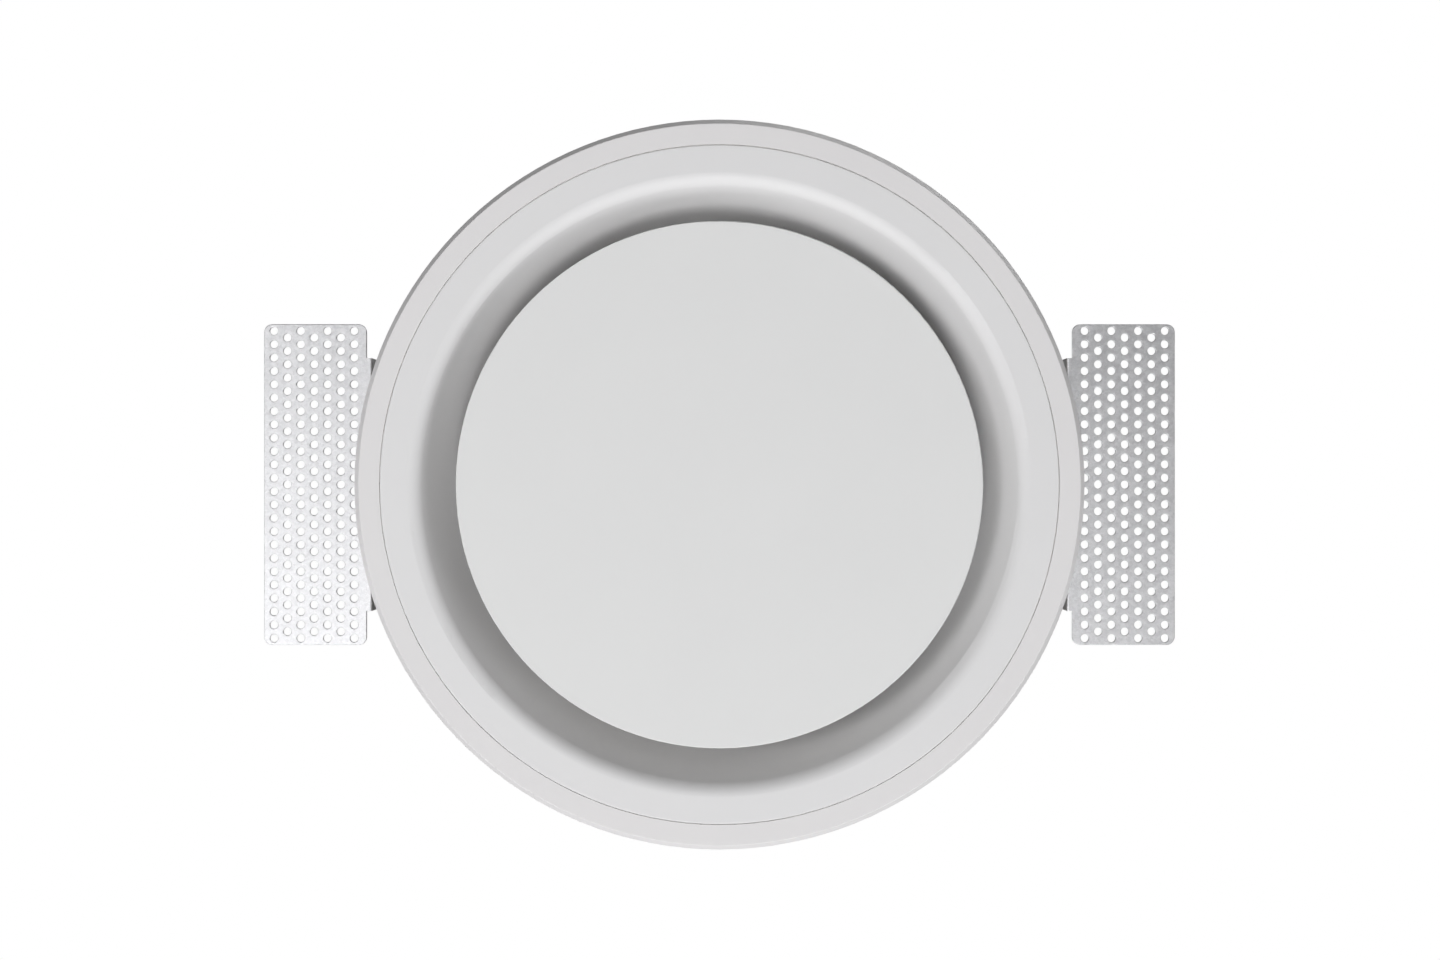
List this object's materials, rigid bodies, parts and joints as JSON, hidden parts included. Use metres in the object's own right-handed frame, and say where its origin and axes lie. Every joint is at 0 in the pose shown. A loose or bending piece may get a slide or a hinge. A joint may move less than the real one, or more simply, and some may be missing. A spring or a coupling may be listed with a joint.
{
  "type": "ceiling air diffuser",
  "caption": "Round plaster-in ceiling air diffuser: flush white ring and screw-adjusted centre disc, perforated fixing ears, and a round duct spigot behind.",
  "frame": {"origin": "centre of the visible face, on the duct axis, in the plane of the finished ceiling", "axes": "+Z along the duct axis, up into the ceiling void; +X through the right fixing ear; the visible face looks along -Z"},
  "size_m": [0.3408, 0.2732, 0.107],
  "materials": {
    "cast_gypsum": "matte",
    "galvanised_sheet": "satin",
    "zinc_plated_steel": "satin",
    "spring_steel": "satin",
    "nickel_plate": "satin",
    "aluminium_rivet": "satin",
    "brass": "satin",
    "epdm_foam": "matte"
  },
  "bodies": {
    "housing": {"frame_ring": "cast_gypsum", "ear_bracket_left": "galvanised_sheet", "ear_bracket_right": "galvanised_sheet", "bracket_screws": "zinc_plated_steel", "bracket_inserts": "brass", "holding_magnets": "nickel_plate", "back_pan": "galvanised_sheet", "pan_gasket": "epdm_foam", "pan_screws": "zinc_plated_steel", "pan_inserts": "brass", "collar_gasket": "epdm_foam", "duct_collar": "galvanised_sheet", "collar_rivets": "aluminium_rivet", "throat_seal": "epdm_foam"},
    "insert": {"insert_ring": "cast_gypsum", "strike_plates": "zinc_plated_steel", "bridge": "zinc_plated_steel", "bridge_screws": "zinc_plated_steel", "bridge_inserts": "brass", "bridge_bush": "brass", "bush_nut": "zinc_plated_steel", "spring": "spring_steel"},
    "carrier": {"thrust_washer": "zinc_plated_steel"},
    "disc": {"face_disc": "cast_gypsum", "hub_flange": "zinc_plated_steel", "hub_screws": "zinc_plated_steel", "hub_inserts": "brass", "spindle": "zinc_plated_steel", "spindle_locknut": "zinc_plated_steel", "stop_nut": "zinc_plated_steel"}
  },
  "joints": [
    {"name": "insert_release", "type": "slide", "parent": "housing", "child": "insert", "axis": [0, 0, -1], "range_m": [0, 0.075]},
    {"name": "disc_travel", "type": "slide", "parent": "insert", "child": "carrier", "axis": [0, 0, 1], "range_m": [0, 0.016], "deforming": ["spring"]},
    {"name": "disc_turn", "type": "hinge", "parent": "carrier", "child": "disc", "pos_m": [0, 0, 0.02], "axis": [0, 0, 1], "range_deg": [0, 2880]}
  ],
  "couplings": [
    {"joint": "disc_travel", "follows": "disc_turn", "m_per_rad": 0.00031831}
  ]
}
